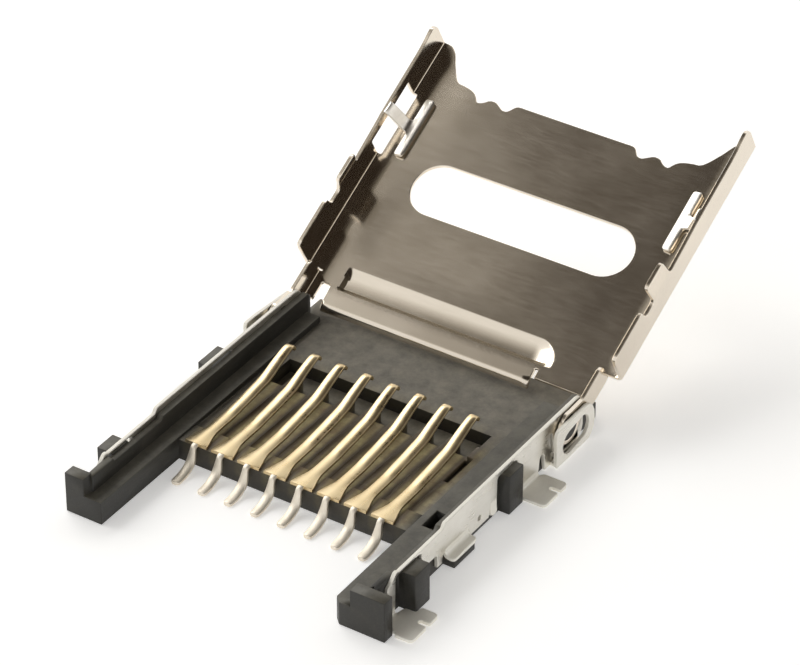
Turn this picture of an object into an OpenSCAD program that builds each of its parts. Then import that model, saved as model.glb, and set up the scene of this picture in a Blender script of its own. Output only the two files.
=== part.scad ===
// Hinged memory card connector with eight spring contacts, cover swung open.
// Millimetres. X runs across the width, Y runs from the front of the arms
// to the hinge at the rear, Z is up. The origin lies on the underside of the
// housing, which is the plane of the circuit board, midway across the arms
// and 7.4 mm behind their front faces.

/* [Housing] */
// Overall width across the two front heads
body_w = 13.0; // [12.9:0.02:13.04]
// Overall length from the front heads to the rear edge
body_l = 14.5; // [14.3:0.05:14.7]
// Height of the side walls beside the card
wall_h = 1.65; // [1.58:0.01:1.68]
// Height of the front rim of the floor, under the contact feet
rim_h = 0.85; // [0.78:0.01:0.88]
// Height of the floor behind the rim
floor_h = 0.7; // [0.5:0.01:0.74]
// Height of the two ledges under the card edges
ledge_h = 0.95; // [0.88:0.01:1.0]

/* [Contacts] */
// Spacing between neighbouring contacts
pitch = 1.1; // [1.08:0.01:1.12]
// Width of each spring beam
beam_w = 0.43; // [0.36:0.01:0.5]
// Highest point of the free contact tips above the board
tip_h = 1.72; // [1.66:0.01:1.73]
// Sheet thickness of the contacts
contact_t = 0.12; // [0.08:0.01:0.12]

/* [Cover] */
// Sheet thickness of the cover and the side brackets
sheet_t = 0.15; // [0.1:0.01:0.15]
// Overall width across the cover walls
cover_w = 13.38; // [13.38:0.01:13.46]
// Reach of the cover corners measured from the hinge line
cover_reach = 12.92; // [12.8:0.02:13.0]
// Length of the long window in the cover
window_l = 9.24; // [6:0.01:9.6]
// Width of the long window in the cover
window_w = 2.15; // [1.2:0.01:2.4]

/* [Hidden] */
$fn = 28;
e = 0.02;                       // overrun of cutting tools
hx = body_w/2;                  // half width over the heads
y0 = -7.4;                      // front of the heads
y1 = y0 + body_l;               // rear edge
wi = 5.57;                      // inner face of the side walls
wo = 5.85;                      // outer face of the side walls
lx = -5.0;                      // inner face of the left ledge
rx = 4.45;                      // inner face of the right ledge
fy = -2.9;                      // front face of the floor
row_x = -0.43;                  // centre of the contact row
pin_y = 4.75;                   // hinge line
pin_z = 1.176;
pin_r = 0.46;
open_deg = 152.05;              // swing of the cover from closed to the rest pose
plate_z = 0.725;                // inner face of the cover plate above the hinge line
l0 = 1.499;                     // from the hinge line to the zero of the cover lengths
ci = cover_w/2 - sheet_t;       // inner face of the cover walls
co = cover_w/2;                 // outer face of the cover walls
bo = wo + sheet_t;              // outer face of the brackets
ei = bo + 0.03;                 // inner face of the hinge ears of the cover
eo = ei + sheet_t;              // outer face of the hinge ears
gi = eo + 0.03;                 // inner face of the hinge guards of the brackets

// draws a flat shape given in (Y, Z) and thickens it from x0 to x1
module side(x0, x1) {
    translate([x0, 0, 0]) rotate([90, 0, 90]) linear_extrude(x1 - x0) children();
}
module block(x0, x1, ya, yb, za, zb) {
    translate([x0, ya, za]) cube([x1 - x0, yb - ya, zb - za]);
}
// long hole with round ends along the first axis, length l and width w
module stadium(l, w) {
    union() {
        translate([-(l - w)/2, 0]) circle(d = w);
        translate([(l - w)/2, 0]) circle(d = w);
        translate([-(l - w)/2, -w/2]) square([l - w, w]);
    }
}
function cx(i) = row_x + (i - 4.5)*pitch;

// ---- moulded housing -------------------------------------------------
module wall_outline() {
    polygon([[y0 + 0.4, 0], [y0 + 0.4, wall_h - 0.05], [-5.85, wall_h - 0.02],
             [-5.76, 1.5], [-3.05, 1.5], [-2.93, wall_h],
             [5.95, wall_h], [6.08, wall_h - 0.12], [6.08, 0.7], [y1, 0.7], [y1, 0]]);
}
module boss(s, ya, yb, za, zb, out) {
    block(s > 0 ? wo - e : -out, s > 0 ? out : -wo + e, ya, yb, za, zb);
}
module housing() {
    color([0.17, 0.17, 0.15])
    difference() {
        union() {
            // front rim and floor between the arms
            block(lx - e, rx + e, fy, -1.85, 0, rim_h);
            block(lx - e, rx + e, -1.9, y1, 0, floor_h);
            // ledges under the card edges
            block(-wi - e, lx, y0 + 0.01, y1, 0, 0.7);
            block(-wi - e, lx, y0 + 0.01, 5.85, 0, ledge_h);
            block(rx, wi + e, y0 + 0.01, y1, 0, 0.7);
            block(rx, wi + e, y0 + 0.01, 5.85, 0, ledge_h);
            // side walls
            side(-wo, -wi) wall_outline();
            side(wi, wo) wall_outline();
            // heads at the front of the arms
            block(-hx, -5.7, y0, y0 + 0.5, 0, wall_h - 0.01);
            block(-hx, lx, y0, y0 + 0.5, 0, ledge_h - 0.01);
            block(5.13, hx, y0, y0 + 0.5, 0, wall_h - 0.01);
            block(rx, hx, y0, y0 + 0.5, 0, ledge_h - 0.01);
            // bosses that stand through the brackets
            for (s = [-1, 1]) {
                boss(s, -5.56, -4.65, 0, 1.56, 6.5);
                boss(s, -2.85, -1.55, 0, 0.34, 6.3);
            }
            boss(1, 0.65, 1.55, 0, 1.63, 6.28);
            boss(-1, 0.35, 1.55, 0, 1.63, 6.48);
            // hinge pins
            translate([wo - e, pin_y, pin_z]) rotate([0, 90, 0])
                cylinder(h = gi - 0.02 - wo + e, r = pin_r);
            translate([-gi + 0.02, pin_y, pin_z]) rotate([0, 90, 0])
                cylinder(h = gi - 0.02 - wo + e, r = pin_r);
        }
        // grooves under the spring beams, pockets for the barbs of the feet
        for (i = [1:8]) {
            block(cx(i) - 0.34, cx(i) + 0.34, -2.35, 2.15, floor_h - 0.2, 2);
            block(cx(i) - 0.34, cx(i) + 0.34, 2.1, 3.35, 0.14, 2);
            block(cx(i) - 0.17, cx(i) + 0.17, -2.64, -2.48, 0.28, 2);
        }
        // common pocket under the tips
        block(cx(1) - 0.2, cx(8) + 0.42, 2.6, 3.35, 0.14, 2);
        // chamfer on the inner corner of the right head and ledge
        translate([rx, y0, 0]) rotate([0, 0, 45]) cube([0.36, 0.36, 4], center = true);
        // pocket in the right ledge and small groove beside the contacts
        block(4.75, 5.4, -2.45, -1.5, 0.45, 2);
        block(3.7, 4.02, 0.3, 1.9, 0.3, 2);
    }
}

// ---- spring contacts -------------------------------------------------
function beam_top() = [[-1.95, rim_h + contact_t], [-0.9, rim_h + contact_t + 0.01],
    [0.3, 1.09], [1.15, 1.20], [1.45, 1.26], [1.9, 1.43], [2.3, tip_h - 0.14],
    [2.55, tip_h - 0.06], [2.76, tip_h], [2.92, tip_h - 0.03], [3.03, tip_h - 0.12],
    [3.08, tip_h - 0.25]];
function beam_low() = [[2.97, tip_h - 0.26], [2.93, tip_h - 0.18], [2.86, tip_h - 0.14],
    [2.75, tip_h - contact_t], [2.58, tip_h - 0.05 - contact_t], [2.34, tip_h - 0.13 - contact_t],
    [1.94, 1.42 - contact_t], [1.48, 1.25 - contact_t], [1.17, 1.195 - contact_t],
    [0.3, 1.085 - contact_t], [-0.9, rim_h + 0.01], [-1.95, rim_h]];
module contact(i) {
    translate([cx(i), 0, 0]) {
        // spring beam, narrower towards the curled tip
        intersection() {
            side(-beam_w/2, beam_w/2) polygon(concat(beam_top(), beam_low()));
            linear_extrude(3)
                polygon([[-beam_w/2, -2.2], [beam_w/2, -2.2], [beam_w/2, 1.3],
                         [beam_w/2 - 0.07, 3.2], [-beam_w/2 + 0.07, 3.2], [-beam_w/2, 1.3]]);
        }
        // wide foot on the front rim of the floor
        translate([0, 0, rim_h]) linear_extrude(contact_t)
            polygon([[-0.45, -2.88], [0.45, -2.88], [0.45, -2.75], [beam_w/2, -1.93],
                     [beam_w/2, -1.88], [-beam_w/2, -1.88], [-beam_w/2, -1.93], [-0.45, -2.75]]);
        // barb pressed into the rim
        block(-0.15, 0.15, -2.62, -2.5, 0.3, rim_h + contact_t/2);
        // tail bent down in front of the rim to board level
        intersection() {
            side(-0.18, 0.18)
                polygon([[-2.80, rim_h + contact_t], [-2.95, rim_h + 0.11], [-3.04, rim_h + 0.05],
                         [-3.10, rim_h - 0.05], [-3.22, 0.45], [-3.45, 0.25], [-3.75, 0.14],
                         [-4.2, contact_t], [-4.2, 0], [-3.72, 0.02], [-3.38, 0.14], [-3.11, 0.38],
                         [-2.99, rim_h - 0.09], [-2.94, rim_h - 0.02], [-2.88, rim_h], [-2.80, rim_h]]);
            linear_extrude(3)
                polygon([[-0.11, -2.7], [-0.11, -3.0], [-0.18, -3.25], [-0.18, -4.1],
                         [-0.12, -4.25], [0.12, -4.25], [0.18, -4.1], [0.18, -3.25],
                         [0.11, -3.0], [0.11, -2.7]]);
        }
    }
}
module contact_1() { color([0.93, 0.80, 0.50]) contact(1); }
module contact_2() { color([0.93, 0.80, 0.50]) contact(2); }
module contact_3() { color([0.93, 0.80, 0.50]) contact(3); }
module contact_4() { color([0.93, 0.80, 0.50]) contact(4); }
module contact_5() { color([0.93, 0.80, 0.50]) contact(5); }
module contact_6() { color([0.93, 0.80, 0.50]) contact(6); }
module contact_7() { color([0.93, 0.80, 0.50]) contact(7); }
module contact_8() { color([0.93, 0.80, 0.50]) contact(8); }

// ---- side brackets ---------------------------------------------------
// upright plate of a bracket in (Y, Z)
module bracket_outline() {
    difference() {
        polygon([[-6.44, 0.0], [-6.44, 1.35], [-6.26, 1.45], [-5.95, 1.75], [-5.8, 1.75],
                 [-5.74, 1.69], [-3.05, 1.69], [-2.93, 1.88], [5.6, 1.88], [5.9, 1.65],
                 [5.95, 1.4], [5.95, 0.5], [5.7, 0]]);
        // windows around the bosses
        translate([-5.95, -1]) square([1.55, 2.6]);
        translate([0.25, -1]) square([1.35, 2.7]);
        // openings below the broad middle field
        translate([-4.21, -1]) square([0.79, 1.85]);
        translate([-3.12, -1]) square([1.67, 1.4]);
        translate([-1.5, -1]) square([1.8, 1.35]);
        // small hole, bore for the hinge pin with the opening behind it
        translate([-0.79, 0.7]) circle(d = 0.24);
        translate([pin_y, pin_z]) circle(r = pin_r + 0.03);
        translate([4.9, 0.84]) rotate([0, 0, 8]) stadium(1.6, 0.85);
        // curved cuts in front of the rear end
        translate([3.2, 0.25]) rotate([0, 0, 96]) stadium(1.3, 0.26);
        translate([3.84, 0.82]) rotate([0, 0, 98]) stadium(1.1, 0.14);
    }
    // rounded tongue in front of the middle boss
    translate([-0.16, 0.3]) square([0.42, 0.55]);
}
// solder pad bent outwards, with a notch that opens outwards
module pad(ya, yb, out, ny) {
    difference() {
        linear_extrude(sheet_t)
            polygon([[wo, ya + 0.1], [wo + 0.3, ya], [out - 0.15, ya], [out, ya + 0.15],
                     [out, yb - 0.15], [out - 0.2, yb], [wo, yb]]);
        block(out - 0.42, out + 1, ny - 0.1, ny + 0.1, -1, 1);
    }
}
// front solder pad of the right side, which reaches round the head
module head_pad() {
    difference() {
        linear_extrude(sheet_t)
            polygon([[wo, -6.84], [6.54, -6.84], [6.54, -6.9], [6.62, -6.98], [7.12, -6.98],
                     [7.28, -6.82], [7.28, -5.44], [7.12, -5.28], [6.62, -5.28], [6.54, -5.36],
                     [6.54, -5.6], [wo, -5.6]]);
        block(6.9, 8, -6.06, -5.86, -1, 1);
    }
}
// short lip folded outwards above the small boss
module lip() {
    side(wo, bo + 0.36) polygon([[-2.95, 0.38], [-1.5, 0.38], [-1.5, 0.53], [-2.95, 0.53]]);
}
// guard outside the hinge ear, joined to the upright plate by a fold at board level;
// nose is its outline in front of the opening
module guard(nose) {
    side(gi, gi + sheet_t) difference() {
        polygon(concat(nose, [[5.7, 1.66], [5.95, 1.52], [6.12, 1.2], [6.16, 0.8], [6.02, 0.32],
                              [5.8, 0.05], [5.7, 0]]));
        translate([4.9, 0.84]) rotate([0, 0, 8]) stadium(1.75, 0.95);
    }
    block(wo, gi + sheet_t - 0.01, 3.8, 5.65, 0, sheet_t);
}
module right_bracket() {
    color([0.90, 0.87, 0.80]) {
        side(wo, bo) bracket_outline();
        head_pad();
        side(wo, bo) polygon([[-6.8, 0], [-6.4, 0], [-6.4, 0.6], [-6.58, 0.45]]);
        pad(1.6, 3.15, 7.12, 2.58);
        lip();
        guard([[3.72, 0], [3.62, 0.1], [3.62, 1.5], [3.78, 1.66]]);
    }
}
module left_bracket() {
    color([0.90, 0.87, 0.80])
    mirror([1, 0, 0]) {
        side(wo, bo) bracket_outline();
        pad(-4.3, -3.05, 7.3, -3.7);
        pad(2.1, 3.45, 7.3, 2.75);
        lip();
        guard([[3.72, 0], [3.62, 0.1], [3.5, 0.4], [2.95, 0.5], [2.95, 1.75], [3.05, 1.85], [3.6, 1.83]]);
    }
}

// ---- folded cover ----------------------------------------------------
// The cover is drawn closed, with the hinge line at the origin: lengths grow
// from the hinge towards the free end along -Y, the walls hang below the plate.
// outline of the free end in (X, length)
function edge_half() = [[0, 9.87], [2.15, 9.87], [2.45, 9.86], [2.62, 9.72], [2.76, 9.55],
    [2.95, 9.52], [3.1, 9.6], [3.3, 9.72], [3.55, 9.74], [3.75, 9.62], [3.95, 9.52],
    [4.04, 9.48], [4.15, 9.62], [4.3, 9.8], [4.5, 9.88], [4.86, 9.97], [5.08, 9.98],
    [5.34, 10.2], [5.56, 10.52], [5.71, 10.75], [5.92, 11.13], [6.18, 11.36], [6.35, 11.4]];
module plate_plan() {
    difference() {
        polygon(concat(
            [[-co + 0.2, l0 + 1.05], [-6.0, l0 + 1.05], [-6.0, l0 + 0.93], [-eo, l0 + 0.93],
             [-eo, l0 - 0.1], [3.58, l0 - 0.1], [3.58, l0 + 0.05], [eo, l0 + 0.05],
             [eo, l0 + 0.93], [6.0, l0 + 0.93], [6.0, l0 + 1.05], [co - 0.2, l0 + 1.05],
             [co - 0.2, cover_reach - 0.04]],
            [for (k = [len(edge_half()) - 1:-1:0]) [edge_half()[k][0], edge_half()[k][1] + l0]],
            [for (k = [1:len(edge_half()) - 1]) [-edge_half()[k][0], edge_half()[k][1] + l0]],
            [[-co + 0.2, cover_reach - 0.04]]));
        // long window
        translate([0.03, 5.61 + l0]) stadium(window_l, window_w);
        // relief slits at the two ends of the rolled lip
        translate([3.5, l0 - 0.2]) square([0.16, 0.62]);
        translate([-5.7, l0 - 0.2]) square([0.4, 0.85]);
        // the slot of the left wall reaches through the bend
        translate([-co - 1, l0 + 6.25]) square([co + 1 - 6.38, 2.75]);
    }
}
// side wall in (length, depth below the plate inner face)
module wall_plan(s) {
    difference() {
        polygon([[l0 + 1.05, -0.02], [cover_reach - 0.12, -0.02], [cover_reach, 0.12],
                 [cover_reach, 1.0], [cover_reach - 0.25, 1.25], [cover_reach - 0.7, 1.2],
                 [l0 + 10, 1.12], [l0 + 7.95, 1.1], [l0 + 7.3, 1.1],
                 [l0 + 5.3, 0.98], [l0 + 5.2, 1.1], [l0 + 4.0, 1.1], [l0 + 3.9, 0.9],
                 [l0 + 3.3, 0.9], [l0 + 3.1, 1.33], [l0 + 1.25, 1.33], [l0 + 1.11, 1.27],
                 [l0 + 1.05, 1.13]]);
        if (s < 0) translate([l0 + 6.25, -1]) square([2.75, 1.74]);
    }
}
// hinge ear folded down from the plate edge, with the eye round the pin
module ear_plan() {
    difference() {
        union() {
            polygon([[l0 + 0.93, -sheet_t], [l0 + 1.0, 0], [l0 + 1.16, 0.15], [l0 + 1.16, 0.7],
                     [l0 + 1.0, 0.88], [l0 - 0.4, 0.88], [l0 - 1.3, 1.29], [l0 - 1.4, 0.6],
                     [l0 - 1.0, 0.5], [l0 - 0.35, 0.3], [l0 - 0.2, 0], [l0 - 0.1, -sheet_t]]);
            translate([0, plate_z]) circle(r = 0.66);
        }
        translate([0, plate_z]) circle(r = pin_r + 0.05);
    }
}
module cover_wall(s) {
    // upright wall
    translate([s > 0 ? ci : -co, 0, plate_z]) mirror([0, 1, 0]) mirror([0, 0, 1])
        rotate([90, 0, 90]) linear_extrude(sheet_t) wall_plan(s);
    // T-shaped tab above the arm, its stem cranked over the bracket from the free edge
    block(s > 0 ? 5.48 : -5.88, s > 0 ? 5.88 : -5.48, -l0 - 8.93, -l0 - 6.34, plate_z - 0.19, plate_z - 0.04);
    mirror([s > 0 ? 0 : 1, 0, 0]) translate([0, -l0 - 7.37, plate_z]) rotate([90, 0, 0])
        linear_extrude(0.5)
            polygon([[5.75, -0.05], [6.1, -0.05], [ci - 0.02, -0.9], [ci + 0.05, -0.93],
                     [ci + 0.05, -1.08], [ci - 0.1, -1.08], [6.03, -0.19], [5.75, -0.19]]);
    // latch tab on the free edge, leaning inwards
    mirror([s > 0 ? 0 : 1, 0, 0]) translate([0, -l0 - 4.0, plate_z]) rotate([90, 0, 0])
        linear_extrude(1.15)
            polygon([[ci, -0.85], [co, -0.85], [co, -1.1], [co - 0.12, -1.62],
                     [ci - 0.12, -1.62], [ci, -1.1]]);
    // hinge ear beside the bracket
    translate([s > 0 ? ei : -eo, 0, plate_z]) mirror([0, 1, 0]) mirror([0, 0, 1])
        rotate([90, 0, 90]) linear_extrude(sheet_t) ear_plan();
}
module cover_closed() {
    // plate with a long stiffening bead pressed outwards, a groove on the inner side
    difference() {
        union() {
            translate([0, 0, plate_z]) linear_extrude(sheet_t) mirror([0, 1, 0]) plate_plan();
            translate([-0.48, -l0 - 1.08, plate_z + sheet_t - e]) linear_extrude(0.15 + e)
                stadium(9.1, 1.1);
        }
        translate([-0.48, -l0 - 1.08, plate_z - 1]) linear_extrude(1.15) stadium(8.94, 0.96);
    }
    // rounded bends between plate and walls
    difference() {
        for (s = [-1, 1]) intersection() {
            translate([s*(co - 0.22), -cover_reach + 0.12, plate_z + sheet_t - 0.22]) rotate([-90, 0, 0])
                cylinder(h = cover_reach - 0.12 - l0 - 1.05, r = 0.22);
            block(s > 0 ? co - 0.22 : -co, s > 0 ? co : -co + 0.22, -cover_reach, 0, plate_z - 0.02, plate_z + sheet_t);
        }
        block(-co - 1, -6.38, -l0 - 9.0, -l0 - 6.25, plate_z - 1, plate_z + 1);
    }
    for (s = [-1, 1]) cover_wall(s);
    // lip at the hinge end, rolled outwards
    side(-5.3, 3.5) polygon([[-l0 + 0.08, plate_z + sheet_t], [-l0 + 0.15, plate_z + 0.16],
        [-l0 + 0.23, plate_z + 0.2], [-l0 + 0.27, plate_z + 0.28], [-l0 + 0.42, plate_z + 0.28],
        [-l0 + 0.37, plate_z + 0.12], [-l0 + 0.25, plate_z + 0.03], [-l0 + 0.08, plate_z]]);
}
module cover() {
    color([0.66, 0.61, 0.54])
    translate([0, pin_y, pin_z]) rotate([-open_deg, 0, 0]) cover_closed();
}

housing();
contact_1();
contact_2();
contact_3();
contact_4();
contact_5();
contact_6();
contact_7();
contact_8();
left_bracket();
right_bracket();
cover();
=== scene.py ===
import math

import bmesh
import bpy
import numpy as np
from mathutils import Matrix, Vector
from mathutils.geometry import delaunay_2d_cdt


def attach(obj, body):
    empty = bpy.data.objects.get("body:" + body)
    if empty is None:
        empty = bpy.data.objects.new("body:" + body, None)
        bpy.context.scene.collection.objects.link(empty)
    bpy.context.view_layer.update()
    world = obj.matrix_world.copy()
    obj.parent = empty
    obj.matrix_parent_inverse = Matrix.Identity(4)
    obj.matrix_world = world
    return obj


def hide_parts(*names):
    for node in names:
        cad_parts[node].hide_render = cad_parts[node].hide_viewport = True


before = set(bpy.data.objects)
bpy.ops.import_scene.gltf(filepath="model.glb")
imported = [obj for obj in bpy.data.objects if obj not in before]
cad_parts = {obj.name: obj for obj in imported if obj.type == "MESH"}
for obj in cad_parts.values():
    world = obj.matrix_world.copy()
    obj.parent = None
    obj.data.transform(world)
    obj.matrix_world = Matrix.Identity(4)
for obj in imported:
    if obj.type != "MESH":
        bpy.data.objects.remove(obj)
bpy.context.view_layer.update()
MM = 0.001

# ---------------------------------------------------------------- camera
# everything below is written in millimetres and scaled once when a mesh is made
AZ, EL = math.radians(33.21), math.radians(35.03)
AIM = Vector((-1.997, 6.504, 1.0))
back = Vector((math.sin(AZ) * math.cos(EL), -math.cos(AZ) * math.cos(EL), math.sin(EL)))
cam_data = bpy.data.cameras.new("camera")
cam_data.lens = 181.5
cam_data.sensor_width = 36.0
cam_data.clip_start = 0.002
cam_data.clip_end = 20.0
cam = bpy.data.objects.new("camera", cam_data)
bpy.context.scene.collection.objects.link(cam)
cam.location = (AIM + back * 144.52) * MM
cam.rotation_euler = (-back).to_track_quat("-Z", "Y").to_euler()
bpy.context.scene.camera = cam


# ---------------------------------------------------------------- materials
def new_mat(name):
    m = bpy.data.materials.new(name)
    m.use_nodes = True
    nt = m.node_tree
    return m, nt, nt.nodes["Principled BSDF"]


def node(nt, kind, **kw):
    n = nt.nodes.new(kind)
    for k, v in kw.items():
        setattr(n, k, v)
    return n


def coords(nt, scale, rot=(0, 0, 0)):
    tc = node(nt, "ShaderNodeTexCoord")
    mp = node(nt, "ShaderNodeMapping")
    mp.inputs["Scale"].default_value = scale
    mp.inputs["Rotation"].default_value = rot
    nt.links.new(tc.outputs["Object"], mp.inputs["Vector"])
    return mp.outputs["Vector"]


def noise_tex(nt, vec, scale, detail=3.0, rough=0.5, distort=0.0):
    n = node(nt, "ShaderNodeTexNoise")
    n.inputs["Scale"].default_value = scale
    n.inputs["Detail"].default_value = detail
    n.inputs["Roughness"].default_value = rough
    n.inputs["Distortion"].default_value = distort
    nt.links.new(vec, n.inputs["Vector"])
    return n.outputs["Fac"]


def ramp(nt, fac, stops):
    r = node(nt, "ShaderNodeValToRGB")
    el = r.color_ramp.elements
    el[0].position, el[0].color = stops[0][0], (*stops[0][1], 1)
    el[1].position, el[1].color = stops[-1][0], (*stops[-1][1], 1)
    for p, c in stops[1:-1]:
        e = el.new(p)
        e.color = (*c, 1)
    nt.links.new(fac, r.inputs["Fac"])
    return r.outputs["Color"]


def mix_col(nt, fac, a, b, mode="MIX"):
    m = node(nt, "ShaderNodeMix", data_type="RGBA", blend_type=mode)
    for sock, v in ((m.inputs[0], fac), (m.inputs[6], a), (m.inputs[7], b)):
        if isinstance(v, (float, int)):
            sock.default_value = v
        elif isinstance(v, tuple):
            sock.default_value = (*v, 1)
        else:
            nt.links.new(v, sock)
    return m.outputs[2]


def span(nt, fac, lo, hi, a=0.0, b=1.0):
    m = node(nt, "ShaderNodeMapRange")
    m.inputs["From Min"].default_value = lo
    m.inputs["From Max"].default_value = hi
    m.inputs["To Min"].default_value = a
    m.inputs["To Max"].default_value = b
    nt.links.new(fac, m.inputs["Value"])
    return m.outputs["Result"]


def math_node(nt, op, a, b):
    m = node(nt, "ShaderNodeMath", operation=op)
    for sock, v in ((m.inputs[0], a), (m.inputs[1], b)):
        if isinstance(v, (float, int)):
            sock.default_value = v
        else:
            nt.links.new(v, sock)
    return m.outputs[0]


def bump(nt, height, strength, dist, prev=None):
    b = node(nt, "ShaderNodeBump")
    b.inputs["Strength"].default_value = strength
    b.inputs["Distance"].default_value = dist
    nt.links.new(height, b.inputs["Height"])
    if prev is not None:
        nt.links.new(prev, b.inputs["Normal"])
    return b.outputs["Normal"]


def metal(name, light, dark, r0, r1, grain=(1, 1, 1), grain_bump=0.25, fine_bump=0.12, blotch=900.0, speck=None, vary=0.045, metallic=1.0):
    """Rolled and tumbled sheet metal: tint in soft blotches, fine grain along the rolling direction, small dull specks."""
    m, nt, p = new_mat(name)
    p.inputs["Metallic"].default_value = metallic
    vec = coords(nt, (1, 1, 1))
    gvec = coords(nt, grain)
    soft = noise_tex(nt, vec, blotch, 4, 0.6)
    g = noise_tex(nt, gvec, 9000, 5, 0.65)
    fine = noise_tex(nt, vec, 26000, 2, 0.5)
    base = ramp(nt, span(nt, soft, 0.3, 0.72), [(0.0, dark), (1.0, light)])
    base = mix_col(nt, span(nt, g, 0.35, 0.75, 0.0, 0.2), base, tuple(c * 0.78 for c in light))
    rough = math_node(nt, "ADD", span(nt, g, 0.3, 0.7, r0, r1), span(nt, soft, 0.3, 0.7, -vary, vary))
    if speck:
        sp = noise_tex(nt, vec, 5200, 6, 0.7)
        mask = span(nt, sp, 0.64, 0.7)
        base = mix_col(nt, mask, base, speck)
        rough = math_node(nt, "ADD", rough, math_node(nt, "MULTIPLY", mask, 0.15))
    nt.links.new(base, p.inputs["Base Color"])
    nt.links.new(rough, p.inputs["Roughness"])
    n1 = bump(nt, g, grain_bump, 0.000004)
    n2 = bump(nt, fine, fine_bump, 0.000003, n1)
    nt.links.new(n2, p.inputs["Normal"])
    return m


mat_cover = metal("cover_sheet_satin", (0.80, 0.725, 0.62), (0.76, 0.685, 0.58), 0.13, 0.17,
                  grain=(0.12, 1, 1), grain_bump=0.006, fine_bump=0.0006, blotch=420.0, vary=0.012)
# painted shade: a dark sheet tint standing for the shade in the bead's near flank and left end
mat_painted_crease_shade = metal("cover_sheet_painted_crease_shade", (0.20, 0.165, 0.115), (0.15, 0.12, 0.08), 0.4, 0.5,
                   grain=(0.12, 1, 1), grain_bump=0.05, blotch=1500.0)
mat_tab = metal("cover_tabs_tumbled", (0.95, 0.92, 0.86), (0.86, 0.82, 0.75), 0.30, 0.40,
                grain=(1, 0.3, 1), blotch=1500.0)
mat_bracket = metal("bracket_sheet_tinned", (0.93, 0.905, 0.84), (0.84, 0.81, 0.735), 0.26, 0.38,
                    grain=(1, 0.15, 1), blotch=1300.0, speck=(0.70, 0.67, 0.58))
mat_pad = metal("bracket_pad_tinned", (0.97, 0.945, 0.865), (0.90, 0.87, 0.785), 0.46, 0.58,
                grain=(1, 0.3, 1), blotch=1500.0, metallic=0.25)
mat_gold = metal("contact_gold", (0.83, 0.68, 0.43), (0.75, 0.59, 0.34), 0.26, 0.37,
                 grain=(1, 0.12, 1), grain_bump=0.08, fine_bump=0.04, blotch=1500.0)
mat_tail = metal("contact_tail_tin", (0.93, 0.865, 0.755), (0.84, 0.77, 0.645), 0.48, 0.6,
                 grain=(1, 0.2, 1), blotch=1500.0, metallic=0.85)


def plastic(name):
    """Black glass-filled moulding compound: matte, swirled by the flow, faint fibres and tiny pits."""
    m, nt, p = new_mat(name)
    vec = coords(nt, (1, 1, 1))
    flow = noise_tex(nt, coords(nt, (1, 0.35, 1), (0.1, 0.2, 0.5)), 520, 5, 0.62, 1.4)
    fib = noise_tex(nt, coords(nt, (1.0, 0.16, 1.0), (0.0, 0.3, 0.9)), 7000, 4, 0.7)
    pit = noise_tex(nt, vec, 15000, 3, 0.6)
    base = ramp(nt, span(nt, flow, 0.32, 0.7), [(0.0, (0.014, 0.013, 0.010)), (0.55, (0.022, 0.0205, 0.016)), (1.0, (0.036, 0.033, 0.026))])
    base = mix_col(nt, span(nt, fib, 0.55, 0.8, 0.0, 0.3), base, (0.065, 0.060, 0.050))
    # painted reflection: the ribs between the contacts are tinted greenish brown, standing for the gold springs
    # mirrored in the glossy plastic
    sep = node(nt, "ShaderNodeSeparateXYZ")
    nt.links.new(vec, sep.inputs[0])
    x, y = sep.outputs[0], sep.outputs[1]
    zone = math_node(nt, "MULTIPLY", span(nt, x, -0.0050, -0.0044), span(nt, x, 0.0044, 0.0039))
    zone = math_node(nt, "MULTIPLY", zone, math_node(nt, "MULTIPLY", span(nt, y, -0.0031, -0.0026), span(nt, y, 0.0039, 0.0029)))
    # painted sheen and dust: faces that look up are lighter and mottled, more on the floor below 0.74 mm than on the
    # ledges
    geo = node(nt, "ShaderNodeNewGeometry")
    up = node(nt, "ShaderNodeSeparateXYZ")
    nt.links.new(geo.outputs["Normal"], up.inputs[0])
    mott = noise_tex(nt, vec, 1700, 5, 0.7, 0.15)
    dust_and_sheen_mask = math_node(nt, "MULTIPLY", span(nt, up.outputs[2], 0.5, 0.95), span(nt, mott, 0.34, 0.66, 0.5, 1.0))
    dust_and_sheen_tint = mix_col(nt, span(nt, sep.outputs[2], 0.00074, 0.0009), (0.20, 0.182, 0.142), (0.125, 0.116, 0.09))
    base = mix_col(nt, dust_and_sheen_mask, base, dust_and_sheen_tint)
    painted_gold_reflection = ramp(nt, span(nt, mott, 0.3, 0.7), [(0.0, (0.17, 0.10, 0.034)), (0.5, (0.27, 0.21, 0.08)), (1.0, (0.42, 0.35, 0.15))])
    # the painted reflection is weaker on the groove floors and towards the spring tips
    low = math_node(nt, "MULTIPLY", zone, math_node(nt, "MULTIPLY", span(nt, sep.outputs[2], 0.0002, 0.00045, 0.25, 1.0), span(nt, y, 0.0028, 0.0021, 0.35, 1.0)))
    # painted shadow: darkest beside the right flank of each spring, where its shadow falls
    row = math_node(nt, "FRACT", math_node(nt, "ADD", math_node(nt, "DIVIDE", x, 0.0011), 3.8909), 0.0)
    painted_spring_shadow = math_node(nt, "MULTIPLY", span(nt, row, 0.02, 0.14), span(nt, row, 0.6, 0.44))
    painted_gold_reflection = mix_col(nt, math_node(nt, "MULTIPLY", painted_spring_shadow, 0.85), painted_gold_reflection, (0.06, 0.036, 0.016))
    # the painted reflection is stronger on faces that look up
    base = mix_col(nt, math_node(nt, "MULTIPLY", low, span(nt, up.outputs[2], 0.2, 0.9, 0.35, 1.0)), base, painted_gold_reflection)
    nt.links.new(base, p.inputs["Base Color"])
    nt.links.new(math_node(nt, "ADD", span(nt, flow, 0.3, 0.7, 0.44, 0.6), span(nt, pit, 0.3, 0.7, -0.05, 0.06)), p.inputs["Roughness"])
    p.inputs["Specular IOR Level"].default_value = 0.5
    n1 = bump(nt, pit, 0.3, 0.000008)
    nt.links.new(bump(nt, fib, 0.2, 0.000006, n1), p.inputs["Normal"])
    return m


mat_plastic = plastic("housing_moulding")


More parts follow.
